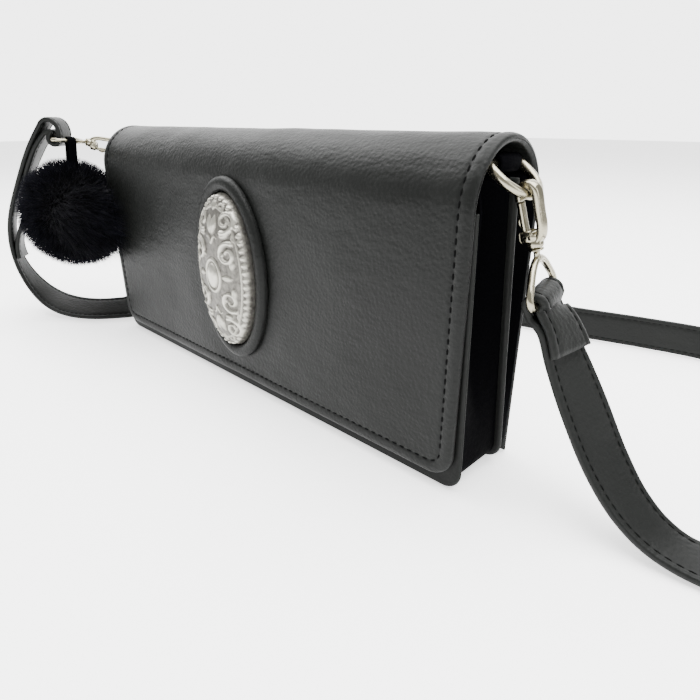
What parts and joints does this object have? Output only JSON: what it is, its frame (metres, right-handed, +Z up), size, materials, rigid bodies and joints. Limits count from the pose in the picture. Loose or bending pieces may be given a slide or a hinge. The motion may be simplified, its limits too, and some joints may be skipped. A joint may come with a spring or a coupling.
{
  "type": "flap-over shoulder bag with strap and pompom",
  "caption": "Slim flap-over leather shoulder bag with accordion pockets, oval silver medallion, swivel snap hooks, long shoulder strap and hanging fur pompom.",
  "frame": {"origin": "on the ground under the middle of the bag's width, on the flat floor of the front pocket's gusset", "axes": "+X along the bag's width to its right end, -Y out of the flap's face, +Z up"},
  "size_m": [0.5442, 0.2604, 0.1359],
  "materials": {
    "leather_grey": "soft gloss, fine pebble grain",
    "leather_edge": "painted edge",
    "leather_black": "matt",
    "nickel": "polished nickel plate",
    "silver": "antique silver with dark recesses",
    "fur_black": "deep pile fur"
  },
  "bodies": {
    "root": {"flap_and_back": "leather_grey", "front_panel": "leather_grey", "divider_panel": "leather_edge", "gusset_front": "leather_black", "gusset_rear": "leather_black", "ring_tab_right": "leather_black", "ring_tab_left": "leather_black", "d_ring_right": "nickel", "d_ring_left": "nickel", "hook_body_right": "nickel", "hook_swivel_right": "nickel", "hook_body_left": "nickel", "hook_swivel_left": "nickel", "strap": "leather_grey", "medallion": "silver", "medallion_bezel": "leather_grey", "pompom": "fur_black", "pompom_loop": "leather_black"},
    "gate_right": {"hook_gate_right": "nickel"},
    "gate_left": {"hook_gate_left": "nickel"}
  },
  "joints": [
    {"name": "gate_right_hinge", "type": "hinge", "parent": "root", "child": "gate_right", "pos_m": [0.14309, -0.00064, 0.09912], "axis": [0.1353, 0.9773, 0.1633], "range_deg": [0, 18], "stiffness_Nm_per_rad": 0.02, "springref_deg": -20.05},
    {"name": "gate_left_hinge", "type": "hinge", "parent": "root", "child": "gate_left", "pos_m": [-0.16006, -0.01581, 0.11709], "axis": [0.7649, -0.6441, 0], "range_deg": [0, 18], "stiffness_Nm_per_rad": 0.02, "springref_deg": -20.05}
  ]
}
